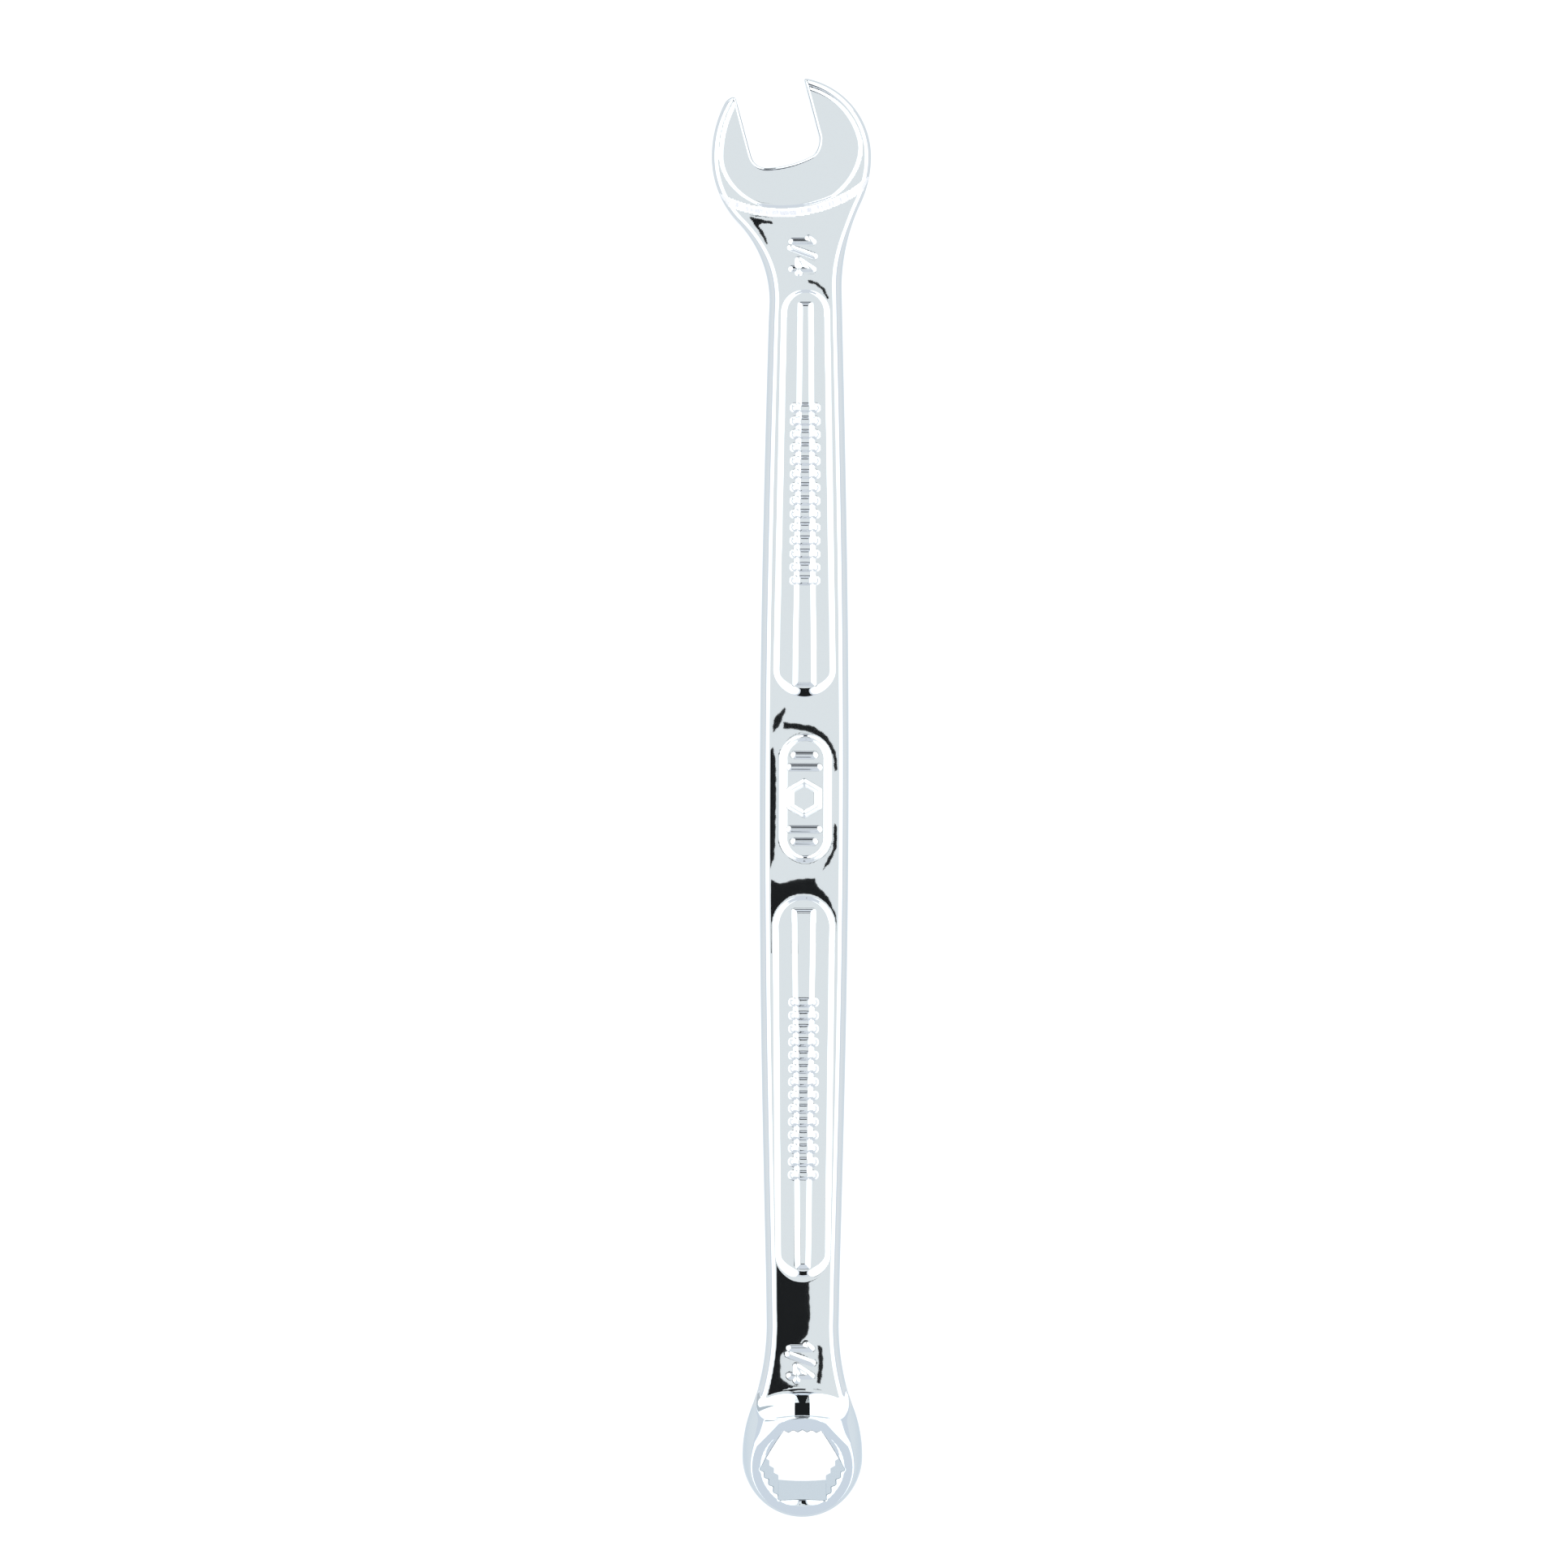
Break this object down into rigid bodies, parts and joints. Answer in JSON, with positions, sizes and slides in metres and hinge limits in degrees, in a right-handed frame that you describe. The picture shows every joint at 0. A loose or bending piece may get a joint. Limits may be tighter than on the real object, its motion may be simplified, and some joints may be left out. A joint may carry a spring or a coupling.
{
  "type": "combination wrench",
  "caption": "Small chrome-plated combination wrench, with an open end turned 15 degrees and a hexagon box end leaning 15 degrees out of the plane of the handle.",
  "frame": {"origin": "middle of the wrench's bounding box in X and Y, at the level of the box end's lowest edge", "axes": "+Y along the handle from the box end to the open end; +Z out of the face that the box end's handle side stands proud of; +X to the right seen from above"},
  "size_m": [0.0144, 0.1302, 0.0079],
  "materials": {
    "chrome_plate": "polished"
  },
  "bodies": {
    "root": {"wrench_body": "chrome_plate"}
  },
  "joints": []
}
